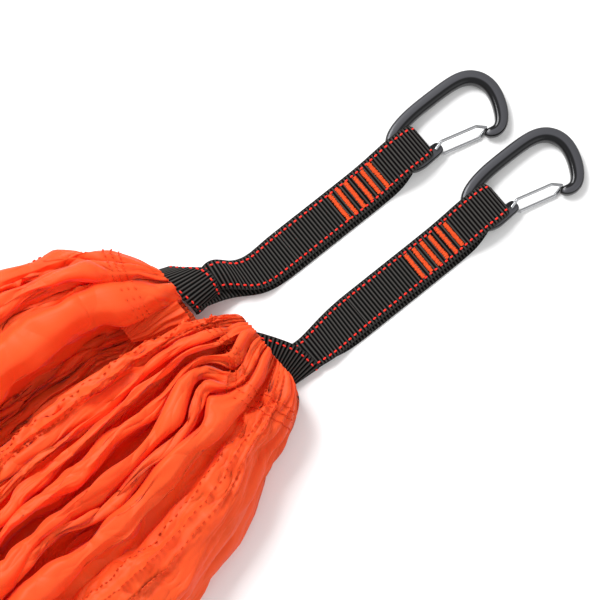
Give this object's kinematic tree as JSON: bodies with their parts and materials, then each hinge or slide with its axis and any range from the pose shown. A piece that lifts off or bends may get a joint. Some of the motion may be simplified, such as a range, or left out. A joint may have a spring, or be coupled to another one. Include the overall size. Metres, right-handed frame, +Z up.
{
  "type": "camping hammock",
  "caption": "Camping hammock folded in half and gathered, with a stitched webbing strap and a wire-gate carabiner on each end.",
  "frame": {"origin": "middle of the underside of the whole folded hammock, on the surface that it lies on", "axes": "+X along the straps towards the carabiners, +Y towards the far strap, +Z up"},
  "size_m": [1.5484, 0.226, 0.0592],
  "materials": {
    "nylon_taffeta": "satin",
    "seam_thread": "matte",
    "black_webbing": "matte",
    "bar_tack_thread": "satin",
    "edge_thread": "satin",
    "anodised_aluminium": "satin",
    "steel_wire": "polished"
  },
  "bodies": {
    "hammock": {"side_panel_left": "nylon_taffeta", "centre_panel": "nylon_taffeta", "side_panel_right": "nylon_taffeta", "seam_thread_left": "seam_thread", "seam_thread_right": "seam_thread", "side_hem_left": "nylon_taffeta", "side_hem_right": "nylon_taffeta", "end_channel_near": "nylon_taffeta", "channel_stitching_near": "seam_thread", "end_channel_far": "nylon_taffeta", "channel_stitching_far": "seam_thread"},
    "strap_near": {"strap_near": "black_webbing", "bar_tacks_near": "bar_tack_thread", "edge_stitching_near": "edge_thread"},
    "carabiner_near": {"carabiner_body_near": "anodised_aluminium"},
    "gate_near": {"gate_wire_near": "steel_wire"},
    "strap_far": {"strap_far": "black_webbing", "bar_tacks_far": "bar_tack_thread", "edge_stitching_far": "edge_thread"},
    "carabiner_far": {"carabiner_body_far": "anodised_aluminium"},
    "gate_far": {"gate_wire_far": "steel_wire"}
  },
  "joints": [
    {"name": "strap_lift_near", "type": "hinge", "parent": "hammock", "child": "strap_near", "pos_m": [0.53479, -0.0295, 0.024], "axis": [0, -1, 0], "range_deg": [0, 110]},
    {"name": "carabiner_swing_near", "type": "hinge", "parent": "strap_near", "child": "carabiner_near", "pos_m": [0.70079, -0.037, 0.0064], "axis": [0, -1, 0], "range_deg": [-100, 100]},
    {"name": "gate_open_near", "type": "hinge", "parent": "carabiner_near", "child": "gate_near", "pos_m": [0.72078, -0.0465, 0.00571], "axis": [0.035, 0, 0.9994], "range_deg": [0, 28], "stiffness_Nm_per_rad": 0.02, "springref_deg": -28.65},
    {"name": "strap_lift_far", "type": "hinge", "parent": "hammock", "child": "strap_far", "pos_m": [0.52279, 0.031, 0.024], "axis": [0, -1, 0], "range_deg": [0, 110]},
    {"name": "carabiner_swing_far", "type": "hinge", "parent": "strap_far", "child": "carabiner_far", "pos_m": [0.68879, 0.0185, 0.0064], "axis": [0, -1, 0], "range_deg": [-100, 100]},
    {"name": "gate_open_far", "type": "hinge", "parent": "carabiner_far", "child": "gate_far", "pos_m": [0.70878, 0.009, 0.00571], "axis": [0.035, 0, 0.9994], "range_deg": [0, 28], "stiffness_Nm_per_rad": 0.02, "springref_deg": -28.65}
  ]
}
